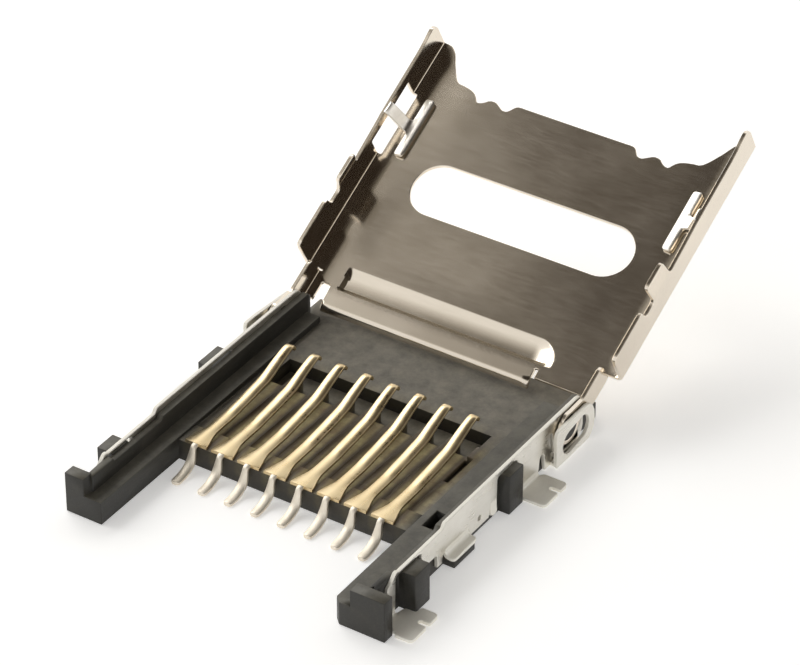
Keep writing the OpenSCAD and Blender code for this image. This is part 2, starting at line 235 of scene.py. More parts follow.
# ---------------------------------------------------------------- mesh tools
def make(name, verts, faces, mats, face_mat=None, sharp=38.0):
    me = bpy.data.meshes.new(name)
    me.from_pydata([(x * MM, y * MM, z * MM) for x, y, z in verts], [], faces)
    for m in mats:
        me.materials.append(m)
    if face_mat is not None:
        for poly, k in zip(me.polygons, face_mat):
            poly.material_index = k
    bm = bmesh.new()
    bm.from_mesh(me)
    bmesh.ops.remove_doubles(bm, verts=bm.verts, dist=2e-7)
    bmesh.ops.recalc_face_normals(bm, faces=bm.faces)
    lim = math.radians(sharp)
    for e in bm.edges:
        e.smooth = len(e.link_faces) == 2 and e.calc_face_angle(0.0) < lim
    for f in bm.faces:
        f.smooth = True
    bm.to_mesh(me)
    bm.free()
    ob = bpy.data.objects.new(name, me)
    bpy.context.scene.collection.objects.link(ob)
    return ob


class Soup:
    """Collects vertices and faces of one piece."""

    def __init__(self):
        self.v, self.f, self.m = [], [], []

    def add(self, verts, faces, mat=0):
        k = len(self.v)
        self.v += [tuple(v) for v in verts]
        self.f += [tuple(i + k for i in f) for f in faces]
        self.m += [mat] * len(faces)


def area2(poly):
    return sum(a[0] * b[1] - b[0] * a[1] for a, b in zip(poly, poly[1:] + poly[:1]))


def resample(poly, h):
    out = []
    for a, b in zip(poly, poly[1:] + poly[:1]):
        d = math.dist(a, b)
        n = max(1, int(math.ceil(d / h)))
        out += [(a[0] + (b[0] - a[0]) * i / n, a[1] + (b[1] - a[1]) * i / n) for i in range(n)]
    return out


def inset(poly, d):
    """Moves a closed loop to its left by d, with limited mitres."""
    n = len(poly)
    out = []
    for i in range(n):
        a, b, c = poly[i - 1], poly[i], poly[(i + 1) % n]
        e1 = Vector((b[0] - a[0], b[1] - a[1])).normalized()
        e2 = Vector((c[0] - b[0], c[1] - b[1])).normalized()
        n1, n2 = Vector((-e1.y, e1.x)), Vector((-e2.y, e2.x))
        m = n1 + n2
        if m.length < 1e-6:
            m = n1
        m.normalize()
        k = d / max(0.45, m.dot(n1))
        out.append((b[0] + m.x * k, b[1] + m.y * k))
    return out


def inside(loops, pts):
    """Even-odd test of many points against closed loops."""
    pts = np.asarray(pts, dtype=float)
    res = np.zeros(len(pts), dtype=bool)
    x, y = pts[:, 0], pts[:, 1]
    for lp in loops:
        a = np.asarray(lp, dtype=float)
        b = np.roll(a, -1, axis=0)
        for (x1, y1), (x2, y2) in zip(a, b):
            if y1 == y2:
                continue
            hit = (y1 > y) != (y2 > y)
            xi = (x2 - x1) * (y - y1) / (y2 - y1) + x1
            res ^= hit & (x < xi)
    return res


def near(loops, pts, d):
    """True where a point lies closer than d to a loop."""
    pts = np.asarray(pts, dtype=float)
    res = np.zeros(len(pts), dtype=bool)
    for lp in loops:
        a = np.asarray(lp, dtype=float)
        b = np.roll(a, -1, axis=0)
        for p, q in zip(a, b):
            e = q - p
            L = float(e @ e)
            t = np.clip(((pts - p) @ e) / L, 0, 1) if L > 0 else np.zeros(len(pts))
            dd = pts - (p + t[:, None] * e)
            res |= (dd * dd).sum(1) < d * d
    return res


def sheet(soup, outer, holes, t, fmap, us, vs, h=0.25, cham=0.02, mat=0, mat_rim=1, extra=(), hh=None, keep=0.45):
    """A thin sheet with broken edges: a flat outline with holes, bent into place by fmap(u, v, w)."""
    outer = resample(outer, h)
    if area2(outer) < 0:
        outer = outer[::-1]
    loops = [outer]
    for hl in holes:
        hl = resample(hl, hh or h)
        if area2(hl) > 0:
            hl = hl[::-1]
        loops.append(hl)
    ins = [inset(lp, cham) for lp in loops]
    grid = np.array([(u, v) for u in us for v in vs] + [tuple(p) for p in extra])
    if len(grid):
        grid = grid[inside(ins, grid)]
        grid = grid[~near(ins, grid, keep * min(h, 0.12))]
    pts, edges = [], []
    for lp in ins:
        k = len(pts)
        pts += lp
        edges += [(k + i, k + (i + 1) % len(lp)) for i in range(len(lp))]
    nb = len(pts)
    pts += [tuple(p) for p in grid]
    v2, _, tris, orig, _, _ = delaunay_2d_cdt([Vector(p) for p in pts], edges, [], 0, 1e-7)
    v2 = [(p.x, p.y) for p in v2]
    cen = [((v2[a][0] + v2[b][0] + v2[c][0]) / 3, (v2[a][1] + v2[b][1] + v2[c][1]) / 3) for a, b, c in tris]
    ok = inside(ins, cen)
    tris = [f for f, k in zip(tris, ok) if k]
    top = [fmap(u, v, t / 2) for u, v in v2]
    low = [fmap(u, v, -t / 2) for u, v in v2]
    n = len(v2)
    faces = [tuple(f) for f in tris] + [tuple(n + i for i in f[::-1]) for f in tris]
    soup.add(top + low, faces, mat)
    c2 = min(cham, t * 0.4)
    for lp, ip in zip(loops, ins):
        m = len(lp)
        rings = [[fmap(u, v, t / 2) for u, v in ip],
                 [fmap(u, v, t / 2 - c2 * 0.9) for u, v in lp],
                 [fmap(u, v, -t / 2 + c2 * 0.9) for u, v in lp],
                 [fmap(u, v, -t / 2) for u, v in ip]]
        fs = []
        for r in range(3):
            for i in range(m):
                j = (i + 1) % m
                fs.append((r * m + i, r * m + j, (r + 1) * m + j, (r + 1) * m + i))
        soup.add([p for r in rings for p in r], fs, mat_rim)


def stadium(cx, cy, length, width, n=14, ang=0.0):
    r = width / 2
    a = (length - width) / 2
    pts = [(a + r * math.cos(-math.pi / 2 + math.pi * i / n), r * math.sin(-math.pi / 2 + math.pi * i / n)) for i in range(n + 1)]
    pts += [(-a + r * math.cos(math.pi / 2 + math.pi * i / n), r * math.sin(math.pi / 2 + math.pi * i / n)) for i in range(n + 1)]
    c, s = math.cos(ang), math.sin(ang)
    return [(cx + x * c - y * s, cy + x * s + y * c) for x, y in pts]


def circle(cx, cy, r, n=28):
    return [(cx + r * math.cos(2 * math.pi * i / n), cy + r * math.sin(2 * math.pi * i / n)) for i in range(n)]


def rounded(poly, r, n=4):
    """Rounds the corners of a loop; r is one radius or one for each corner."""
    out = []
    m = len(poly)
    for i in range(m):
        a, b, c = (Vector(poly[i - 1]), Vector(poly[i]), Vector(poly[(i + 1) % m]))
        ri = r[i] if isinstance(r, (list, tuple)) else r
        d1, d2 = (a - b), (c - b)
        k = min(ri, d1.length * 0.45, d2.length * 0.45)
        if k < 1e-4:
            out.append(tuple(b))
            continue
        p, q = b + d1.normalized() * k, b + d2.normalized() * k
        for j in range(n + 1):
            s = j / n
            w = p * (1 - s) ** 2 + b * 2 * s * (1 - s) + q * s * s
            out.append((w.x, w.y))
    return out


def smooth01(x):
    x = min(1.0, max(0.0, x))
    return x * x * (3 - 2 * x)


# ---------------------------------------------------------------- cover
T = 0.15
L0 = 1.499
OPEN_C, OPEN_S = 0.8834, 0.4687


def on_cover(x, l, n):
    """Width, length from the hinge end and height over the inner face of the plate, at rest."""
    return (x, 6.414 + OPEN_C * l - OPEN_S * n, 1.238 + OPEN_S * l + OPEN_C * n)


def ramp01(x, a, b):
    return min(1.0, max(0.0, (x - a) / (b - a)))


def groove(s, l):
    """Depth of the long bead, pressed outwards: one steep flank, one gentle flank."""
    low = smooth01(ramp01(l, 0.58, 0.70)) * smooth01(ramp01(s, -4.98, -4.84))
    a = max(0.0, (l - 0.72) / 0.84)
    b = max(0.0, (s - 3.1) / 0.88)
    return 0.15 * low * max(0.0, 1.0 - a * a - b * b)


def lip_profile(u):
    """Centre line of the plate's hinge end by developed length: place (l, n) and tilt."""
    l, n, x = 0.6, -0.075, 0.6
    step = 0.004
    ph = 0.0
    while x > u:
        if x > -0.06:
            ph = 0.095 * smooth01((0.6 - x) / 0.3)
        elif x > -0.27:
            ph = 0.095 + 0.97 * smooth01((-0.06 - x) / 0.21)
        l -= step * math.cos(ph)
        n -= step * math.sin(ph)
        x -= step
    return l, n, ph


LIP = [lip_profile(0.6 - 0.01 * i) for i in range(101)]


def lip_at(u):
    k = min(99.0, max(0.0, (0.6 - u) / 0.01))
    i = int(k)
    f = k - i
    return tuple(p + (q - p) * f for p, q in zip(LIP[i], LIP[i + 1]))


def ear_rad(l):
    return 0.085 + 0.035 * smooth01(ramp01(l, -0.75, -0.3))


WALL_R = 0.14


def fold_cover(s, l, w):
    sg = 1.0 if s >= 0 else -1.0
    a = abs(s)
    ear = l < 1.085
    rad = ear_rad(l) if ear else WALL_R
    flat = (6.105 if ear else 6.615) - rad
    if a <= flat:
        # plate, with its bead and the lip rolled outwards at the hinge end
        if l < 0.56 and -5.34 < s < 3.55:
            lc, nc, ph = lip_at(l)
            return on_cover(s, lc - w * math.sin(ph), nc + w * math.cos(ph) - groove(s, l))
        g = groove(s, l)
        # a faint oil-canning of the thin plate
        ripple = 0.012 * math.sin(0.55 * s + 0.4) * math.sin(0.42 * l + 0.3)
        return on_cover(s, l, -0.075 - g + w + (0.0 if ear else ripple * smooth01((5.9 - a) / 1.5) * smooth01((l - 1.7) / 1.0)))
    arc = rad * math.pi / 2
    if a < flat + arc:
        ph = (a - flat) / rad
        x = flat + (rad - w) * math.sin(ph)
        n = -0.075 + rad - (rad - w) * math.cos(ph)
        return on_cover(sg * x, l, n)
    x = flat + rad
    n = -0.075 + rad + (a - flat - arc)
    if not ear and 3.85 < l < 5.3 and n > 1.0:
        x -= 0.24 * (n - 1.0) * smooth01((n - 1.0) / 0.2)
    return on_cover(sg * (x - w), l, n)


def ear_s(n, l=-1.0):
    return n + 6.18 - (2.0 - math.pi / 2) * ear_rad(l)


def wall_s(n):
    return n + 6.69 - (2.0 - math.pi / 2) * WALL_R


def half_outline():
    """Developed outline of the right half from the lip to the middle of the free end."""
    cx, cy = ear_s(0.725), -L0
    p = [(3.5, -0.374), (3.5, 0.38), (3.53, 0.41), (3.63, 0.41), (3.66, 0.38), (3.66, 0.05), (5.92, 0.03), (6.02, -0.06)]
    p += [(ear_s(0.02, -0.1), -0.12), (ear_s(0.14, -0.2), -0.22), (ear_s(0.28, -0.33), -0.34), (ear_s(0.3, -0.6), -0.6), (ear_s(0.29), -0.96)]
    # eye round the hinge pin
    for i in range(23):
        a = math.radians(132 + i * 240 / 22)
        p.append((cx + 0.66 * math.cos(a), cy + 0.66 * math.sin(a)))
    p += [(ear_s(1.2), -1.08), (ear_s(1.02), -0.7), (ear_s(0.9, -0.45), -0.45), (ear_s(0.88, -0.3), -0.3), (ear_s(0.88, 0), 0.78),
          (ear_s(0.83, 0), 0.93), (ear_s(0.72, 0), 1.02), (ear_s(0.58, 0), 1.05), (6.05, 1.05), (5.95, 1.06), (5.93, 1.085), (5.95, 1.11),
          (6.05, 1.12), (6.35, 1.12)]
    p += [(wall_s(n), l) for n, l in
          [(0.2, 1.12), (1.08, 1.12), (1.22, 1.15), (1.30, 1.22), (1.33, 1.34), (1.33, 3.05), (1.28, 3.2), (1.0, 3.28), (0.92, 3.34),
           (0.9, 3.44), (0.9, 3.78), (0.93, 3.9), (1.03, 3.97), (1.5, 3.98), (1.58, 4.02), (1.62, 4.1), (1.62, 5.05), (1.58, 5.13),
           (1.5, 5.17), (1.06, 5.19), (0.99, 5.24), (0.98, 5.4), (1.04, 6.6), (1.09, 7.3), (1.10, 7.95), (1.12, 10.0), (1.16, 10.5),
           (1.22, 10.85), (1.25, 11.1), (1.22, 11.24), (1.1, 11.36), (0.95, 11.415), (0.3, 11.42), (0.05, 11.42)]]
    p += [(6.5, 11.41), (6.35, 11.4), (6.18, 11.36), (6.05, 11.27), (5.92, 11.13), (5.81, 10.94), (5.71, 10.75), (5.56, 10.52), (5.45, 10.35),
          (5.34, 10.2), (5.21, 10.06), (5.08, 9.99), (4.86, 9.97), (4.65, 9.93), (4.5, 9.89), (4.4, 9.85), (4.3, 9.79), (4.22, 9.71),
          (4.15, 9.62), (4.1, 9.54), (4.04, 9.5), (3.95, 9.51), (3.85, 9.55), (3.75, 9.62), (3.66, 9.7),
          (3.55, 9.74), (3.42, 9.75), (3.3, 9.72), (3.2, 9.66), (3.1, 9.6), (3.02, 9.55), (2.95, 9.52), (2.84, 9.52), (2.76, 9.55),
          (2.69, 9.62), (2.62, 9.72), (2.55, 9.81), (2.45, 9.86), (2.3, 9.875), (2.15, 9.87)]
    return p


def build_cover():
    sp = Soup()
    right = half_outline()
    left = [(-s, l) for s, l in right]
    # the lip reaches further on the left than on the right
    left = [(-5.3, -0.374), (-5.3, 0.6), (-5.34, 0.65), (-5.66, 0.65), (-5.7, 0.6), (-5.7, -0.09), (-5.92, -0.09)] + left[7:]
    outer = right + left[::-1]
    holes = [stadium(0.03, 5.61, 9.24, 2.15, 22)]
    for sg in (1, -1):
        holes.append([(sg * x, y) for x, y in circle(ear_s(0.725), -L0, 0.51)])
    # the slot of the left wall reaches through the bend into the plate
    holes.append(rounded([(-wall_s(0.74), 6.25), (-6.38, 6.25), (-6.38, 9.0), (-wall_s(0.74), 9.0)], 0.07))
    us = list(np.arange(-5.8, 5.81, 0.29))
    vs = list(np.arange(0.0, 11.3, 0.29))
    # dense rows for the bead, the lip and the bends
    extra = [(s, l) for s in np.arange(-5.05, 4.1, 0.07) for l in np.arange(0.56, 1.64, 0.036)]
    extra += [(s, l) for s in np.arange(-5.2, 3.46, 0.3) for l in np.arange(-0.34, 0.45, 0.04)]
    extra += [(s, l) for s in np.arange(-5.05, 3.5, 0.07) for l in (0.48, 0.52, 0.545)]
    for sg in (1, -1):
        extra += [(sg * s, l) for s in np.arange(6.49, 6.72, 0.03) for l in np.arange(1.15, 11.3, 0.22)]
        extra += [(sg * s, l) for s in np.arange(5.99, 6.19, 0.03) for l in np.arange(-0.05, 1.04, 0.16)]
        extra += [(sg * wall_s(n), l) for n in np.arange(0.17, 1.62, 0.1) for l in np.arange(1.2, 11.2, 0.2)]
        extra += [(sg * ear_s(n), l) for n in np.arange(0.12, 1.3, 0.12) for l in np.arange(-2.15, 1.0, 0.14)]
    us = [u for u in us]
    grid_vs = [v for v in vs if not (v < 1.65)] + [0.42, 1.7]
    sheet(sp, outer, holes, T, fold_cover, us, grid_vs, h=0.16, cham=0.022, mat_rim=0, extra=extra, hh=0.14)

    # painted shade: the near flank and the left end of the bead get the dark tint, where the bead lies in shade
    for k, f in enumerate(sp.f):
        q = sum((Vector(sp.v[i]) for i in f), Vector()) / len(f)
        l = OPEN_C * (q.y - 6.414) + OPEN_S * (q.z - 1.238)
        if (0.565 < l < 0.745 and -4.97 < q.x < 3.75) or (0.60 < l < 1.36 - 0.9 * (q.x + 4.97) and -4.97 < q.x < -4.86):
            sp.m[k] = 2

    # T-shaped tongues folded in from the free edges of the walls
    for sg in (1, -1):
        path = [(6.60, 1.02), (6.53, 1.045), (6.46, 0.95), (6.30, 0.62), (6.15, 0.31), (6.075, 0.175)]
        path += [(5.98, 0.14), (5.88, 0.128), (5.70, 0.095), (5.49, 0.05)] if sg > 0 else [(5.98, 0.09), (5.88, 0.068), (5.70, 0.097), (5.49, 0.135)]

        def tongue(u, v, w, sg=sg, path=path):
            k = min(len(path) - 2, max(0, int(u)))
            f = u - k
            a, b = Vector(path[k]), Vector(path[k + 1])
            q = a.lerp(b, f)
            d0 = (b - a).normalized()
            d1 = (Vector(path[min(len(path) - 1, k + 2)]) - b).normalized() if k + 2 < len(path) else d0
            d = d0.lerp(d1, f * 0.5) if f > 0.5 else d0
            nrm = Vector((-d.y, d.x)).normalized()
            if nrm.y < 0:
                nrm = -nrm
            q = q + nrm * w
            return on_cover(sg * q.x, v, q.y)

        c = 7.62
        out = [(0.0, c - 0.25), (5.6, c - 0.25), (6.6, c - 0.27), (6.95, c - 0.33), (7.05, c - 0.45), (7.05, 6.5), (7.15, 6.4), (7.4, 6.35),
               (8.6, 6.35), (8.9, 6.4), (9.0, 6.5), (9.0, 8.75), (8.9, 8.86), (8.6, 8.9), (7.4, 8.9), (7.15, 8.86), (7.05, 8.75),
               (7.05, c + 0.45), (6.95, c + 0.33), (6.6, c + 0.27), (5.6, c + 0.25), (0.0, c + 0.25)]
        sc = 0.13
        scaled = [(u * sc, v) for u, v in out]
        sheet(sp, scaled, [], 0.13, lambda u, v, w: tongue(u / sc, v, w), [i * sc * 0.5 for i in range(0, 19)], list(np.arange(6.4, 8.9, 0.2)),
              h=0.1, cham=0.02, mat=1, mat_rim=1)
    return make("cover_sheet", sp.v, sp.f, [mat_cover, mat_tab, mat_painted_crease_shade], sp.m)


cover = build_cover()
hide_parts("cover")
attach(cover, "lid")


# ---------------------------------------------------------------- contacts
def catmull(pts, n):
    """Smooth curve through points of any dimension, n samples to a span."""
    out = []
    P = [np.array(p, dtype=float) for p in pts]
    P = [2 * P[0] - P[1]] + P + [2 * P[-1] - P[-2]]
    for i in range(1, len(P) - 2):
        a, b, c, d = P[i - 1], P[i], P[i + 1], P[i + 2]
        for k in range(n):
            t = k / n
            out.append(0.5 * ((2 * b) + (c - a) * t + (2 * a - 5 * b + 4 * c - d) * t * t + (3 * b - a - 3 * c + d) * t ** 3))
    out.append(P[-2])
    return out


def strip(soup, path, cx, mat=0, cham=0.018, crown=0.0):
    """Sweeps a flat spring section along points (y, z, width, thickness)."""
    n = len(path)
    rings = []
    for i, p in enumerate(path):
        a, b = path[max(0, i - 1)], path[min(n - 1, i + 1)]
        d = Vector((b[0] - a[0], b[1] - a[1])).normalized()
        nrm = Vector((-d.y, d.x))
        y, z, w, t = p
        hw, ht = w / 2, t / 2
        c = min(cham, ht * 0.6)
        sec = [(-hw, -ht + c), (-hw, ht - c), (-hw + c, ht), (0.0, ht + crown), (hw - c, ht), (hw, ht - c), (hw, -ht + c), (hw - c, -ht), (-hw + c, -ht)]
        rings.append([(cx + u, y + nrm.x * v, z + nrm.y * v) for u, v in sec])
    m = 9
    verts = [q for r in rings for q in r]
    faces = []
    for i in range(n - 1):
        for k in range(m):
            j = (k + 1) % m
            faces.append((i * m + k, i * m + j, (i + 1) * m + j, (i + 1) * m + k))
    faces.append(tuple(range(m))[::-1])
    faces.append(tuple((n - 1) * m + k for k in range(m)))
    soup.add(verts, faces, mat)


RIM = 0.85
CT = 0.12


def build_contact(i):
    sp = Soup()
    cx = -0.43 + (i - 4.5) * 1.1
    dz = 0.006 * math.sin(i * 2.3)
    q = CT / 2
    beam = [(-2.88, RIM + q, 0.90), (-2.80, RIM + q, 0.89), (-2.62, RIM + q, 0.80), (-2.42, RIM + q, 0.68), (-2.2, RIM + q, 0.56), (-1.95, RIM + q, 0.465),
            (-1.6, RIM + q, 0.435), (-1.2, RIM + q + 0.002, 0.43), (-0.8, RIM + q + 0.012, 0.43), (-0.3, RIM + q + 0.065, 0.43), (0.3, 1.03 + dz * 0.4, 0.43),
            (0.85, 1.105 + dz * 0.6, 0.43), (1.2, 1.15 + dz * 0.8, 0.425), (1.45, 1.205 + dz, 0.415), (1.68, 1.285 + dz, 0.405), (1.95, 1.395 + dz, 0.39),
            (2.2, 1.485 + dz, 0.375), (2.42, 1.56 + dz, 0.36), (2.6, 1.615 + dz, 0.345), (2.74, 1.648 + dz, 0.335), (2.85, 1.648 + dz, 0.325),
            (2.94, 1.61 + dz, 0.315), (3.0, 1.545 + dz, 0.305), (3.03, 1.47 + dz, 0.295)]
    path = [(p[0], p[1], p[2], CT) for p in catmull(beam, 3)]
    strip(sp, path, cx, 0, crown=0.008)
    # barb in the rim, tail bent down in front of it
    strip(sp, [(-2.56, z, 0.3, CT) for z in (0.9, 0.6, 0.31)], cx, 0)
    tail = [(-2.78, 0.905, 0.24), (-2.88, 0.905, 0.23), (-2.96, 0.885, 0.22), (-3.015, 0.835, 0.22), (-3.045, 0.76, 0.23), (-3.085, 0.63, 0.27),
            (-3.14, 0.48, 0.32), (-3.21, 0.36, 0.35), (-3.32, 0.255, 0.36), (-3.48, 0.17, 0.36), (-3.68, 0.105, 0.36), (-3.85, 0.075, 0.36),
            (-4.05, 0.062, 0.355), (-4.13, 0.06, 0.32), (-4.18, 0.06, 0.25), (-4.2, 0.06, 0.16)]
    strip(sp, [(p[0], p[1], p[2], CT) for p in catmull(tail, 3)], cx, 1)
    ob = make("contact_spring_%d" % i, sp.v, sp.f, [mat_gold, mat_tail], sp.m, sharp=50)
    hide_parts("contact_%d" % i)
    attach(ob, "base")
    return ob


for i in range(1, 9):
    build_contact(i)


# ---------------------------------------------------------------- side brackets
WO, BO = 5.85, 6.0


def bent(sg, pts, rads):
    """Sheet profile in (x, z) with round bends: returns a map from developed length to place."""
    segs = []
    u = 0.0
    P = [Vector(p) for p in pts]
    cur = P[0]
    for i in range(1, len(P)):
        d = (P[i] - cur if i == 1 else P[i] - P[i - 1]).normalized()
        if i < len(P) - 1:
            d2 = (P[i + 1] - P[i]).normalized()
            ang = d.angle(d2)
            k = rads[i - 1] * math.tan(ang / 2)
            end = P[i] - d * k
            L = (end - cur).length
            segs.append(("l", u, u + L, cur.copy(), d.copy(), None))
            u += L
            turn = 1 if d.x * d2.y - d.y * d2.x > 0 else -1
            cen = end + Vector((-d.y, d.x)) * rads[i - 1] * turn
            segs.append(("a", u, u + rads[i - 1] * ang, cen, d.copy(), (rads[i - 1], turn)))
            u += rads[i - 1] * ang
            cur = P[i] + d2 * k
        else:
            L = (P[i] - cur).length
            segs.append(("l", u, u + L, cur.copy(), d.copy(), None))
            u += L

    def f(uu, y, w):
        for s in segs:
            if uu <= s[2] or s is segs[-1]:
                break
        if s[0] == "l":
            q = s[3] + s[4] * (uu - s[1])
            n = Vector((-s[4].y, s[4].x))
        else:
            r, turn = s[5]
            a = (uu - s[1]) / r * turn
            d = Vector((s[4].x * math.cos(a) - s[4].y * math.sin(a), s[4].x * math.sin(a) + s[4].y * math.cos(a)))
            n = Vector((-d.y, d.x))
            q = s[3] - n * r * turn
        q = q + n * w
        return (sg * q.x, y, q.y)

    return f, u, segs


def build_bracket(side):
    sg = 1 if side == "right" else -1
    sp = Soup()
    xm = WO + T / 2
    # upright plate
    outer = [(-6.44, 0.3), (-6.44, 1.33), (-6.38, 1.39), (-6.27, 1.44), (-6.1, 1.59), (-5.97, 1.72), (-5.9, 1.75), (-5.83, 1.745), (-5.78, 1.71),
             (-5.74, 1.69), (-3.09, 1.69), (-3.03, 1.74), (-2.98, 1.82), (-2.92, 1.87), (-2.8, 1.88), (5.52, 1.88), (5.72, 1.83), (5.86, 1.7),
             (5.93, 1.52), (5.95, 1.35), (5.95, 0.5), (5.88, 0.3), (5.7, 0.12), (5.6, 0.06), (3.45, 0.06), (3.42, 0.2), (3.36, 0.72), (3.28, 0.84), (3.16, 0.84), (3.08, 0.74),
             (3.04, 0.45), (3.02, 0.3), (1.62, 0.3), (1.6, 1.60), (1.52, 1.68), (1.4, 1.70), (0.5, 1.70), (0.38, 1.68), (0.32, 1.6), (0.3, 0.86),
             (0.22, 0.83), (-0.08, 0.86), (-0.15, 0.5), (-0.22, 0.34), (-1.3, 0.34), (-1.42, 0.42), (-1.48, 0.66), (-2.98, 0.66), (-3.08, 0.6), (-3.12, 0.4),
             (-3.13, 0.3), (-3.41, 0.3), (-3.43, 0.76), (-3.5, 0.84), (-4.15, 0.85), (-4.22, 0.8), (-4.25, 0.6), (-4.26, 0.3), (-4.38, 0.3),
             (-4.4, 1.48), (-4.46, 1.56), (-4.6, 1.59), (-5.8, 1.59), (-5.92, 1.56), (-5.96, 1.47), (-5.98, 0.3)]
    # bore for the pin joined with the opening behind it
    bore = []
    for i in range(40):
        a = 2 * math.pi * i / 40
        d = Vector((math.cos(a), math.sin(a)))
        far = 0.2
        for k in range(200):
            q = Vector((4.82, 1.0)) + d * (k * 0.006)
            q1 = q - Vector((4.9, 0.84))
            q1 = Vector((q1.x * math.cos(0.14) + q1.y * math.sin(0.14), -q1.x * math.sin(0.14) + q1.y * math.cos(0.14)))
            q1.x = max(0.0, abs(q1.x) - 0.375)
            if (q - Vector((4.75, 1.176))).length < 0.49 or q1.length < 0.425:
                far = k * 0.006
        bore.append((4.82 + d.x * far, 1.0 + d.y * far))
    holes = [bore, circle(-0.79, 0.70, 0.12, 16), stadium(3.86, 0.86, 1.05, 0.13, 8, math.radians(98))]

    def upright(y, z, w):
        return (sg * (xm + w), y, z)

    sheet(sp, outer, holes, T, upright, list(np.arange(-6.4, 6, 0.3)), list(np.arange(0.1, 1.7, 0.3)), h=0.2, cham=0.025, hh=0.1)

    def tab(path, rads, outline, holes=(), cham=0.022):
        f, L, _ = bent(sg, path, rads)
        pts = outline(L)
        us = list(np.arange(0.0, L, 0.05))
        ys = [p[1] for p in pts]
        vs = list(np.arange(min(ys) + 0.12, max(ys), 0.3))
        sheet(sp, pts, list(holes), T + 0.006, f, us, vs, h=0.1, cham=cham, mat=1, hh=0.08)

    def pad(ya, yb, out, ny, root=None):
        ra, rb = root or (ya, yb)

        def ol(L):
            return rounded([(0.0, ra + 0.02), (0.36, ra + 0.02), (0.48, ya), (L, ya), (L, ny - 0.09), (L - 0.40, ny - 0.09), (L - 0.40, ny + 0.09),
                            (L, ny + 0.09), (L, yb), (0.48, yb), (0.36, rb - 0.02), (0.0, rb - 0.02)],
                           [0, 0.05, 0.08, 0.2, 0.08, 0.085, 0.085, 0.08, 0.2, 0.08, 0.05, 0], 5)

        tab([(xm, 0.4), (xm, 0.076), (out, 0.076)], [0.17], ol)

    if side == "right":
        # the front pad reaches round the head
        tab([(xm, 0.4), (xm, 0.076), (7.28, 0.076)], [0.17],
            lambda L: rounded([(0.0, -6.42), (0.36, -6.42), (0.46, -6.82), (0.87, -6.84), (0.93, -6.97), (L, -6.97), (L, -6.06), (L - 0.38, -6.06),
                               (L - 0.38, -5.87), (L, -5.87), (L, -5.29), (0.93, -5.29), (0.87, -5.6), (0.46, -5.62), (0.36, -6.0), (0.0, -6.0)],
                              [0, 0.05, 0.1, 0.05, 0.08, 0.2, 0.08, 0.085, 0.085, 0.08, 0.2, 0.08, 0.05, 0.1, 0.05, 0], 5))
        pad(1.6, 3.15, 7.12, 2.58, (1.62, 3.02))
    else:
        pad(-4.3, -3.05, 7.3, -3.7, (-4.38, -3.13))
        pad(2.1, 3.45, 7.3, 2.75, (2.1, 3.02))
    # lip over the small boss
    tab([(xm, 0.80), (xm, 0.455), (BO + 0.36, 0.42)], [0.24],
        lambda L: rounded([(0.0, -2.97), (L, -2.95), (L, -1.5), (0.0, -1.49)], [0, 0.16, 0.16, 0], 5))
    # rounded tongue in front of the middle boss
    tab([(xm + 0.01, 0.9), (xm + 0.02, 0.5), (xm + 0.07, 0.32)], [0.5],
        lambda L: rounded([(0.0, -0.12), (L, -0.12), (L, 0.27), (0.0, 0.27)], [0, 0.15, 0.18, 0], 5))
    # guard outside the hinge ear, folded round at board level
    gx = 6.21 + T / 2
    top = 1.66 if side == "right" else 1.85
    f, L, segs = bent(sg, [(xm, 0.5), (xm, 0.075), (gx, 0.075), (gx, top)], [0.12, 0.12])
    base = L - top

    def g(z):
        return base + z

    if side == "right":
        nose = [(0.05, 3.8), (0.12, 3.68), (0.25, 3.62), (1.45, 3.62), (1.58, 3.67), (1.66, 3.8), (1.66, 5.65)]
    else:
        nose = [(0.05, 3.8), (0.12, 3.68), (0.3, 3.58), (0.44, 3.42), (0.5, 3.1), (0.58, 2.97), (0.7, 2.95), (1.72, 2.95), (1.82, 3.0), (1.85, 3.12),
                (1.84, 3.6), (1.66, 5.65)]
    zc = [(0.0, 3.85)] + [(g(z), y) for z, y in nose]
    zc += [(g(1.6), 5.84), (g(1.45), 5.99), (g(1.2), 6.11), (g(0.8), 6.16), (g(0.45), 6.1), (g(0.2), 5.9), (g(0.08), 5.7), (g(0.0), 5.65), (0.0, 5.62)]
    hole = [(g(z), y) for y, z in stadium(4.9, 0.84, 1.75, 0.95, 12, math.radians(8))]
    sheet(sp, zc, [hole], T, f, list(np.arange(0.0, L, 0.06)), list(np.arange(3.1, 6.1, 0.25)), h=0.12, cham=0.022, hh=0.1)
    ob = make(side + "_bracket_sheet", sp.v, sp.f, [mat_bracket, mat_pad], sp.m)
    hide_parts(side + "_bracket")
    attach(ob, "base")
    return ob


build_bracket("left")
build_bracket("right")

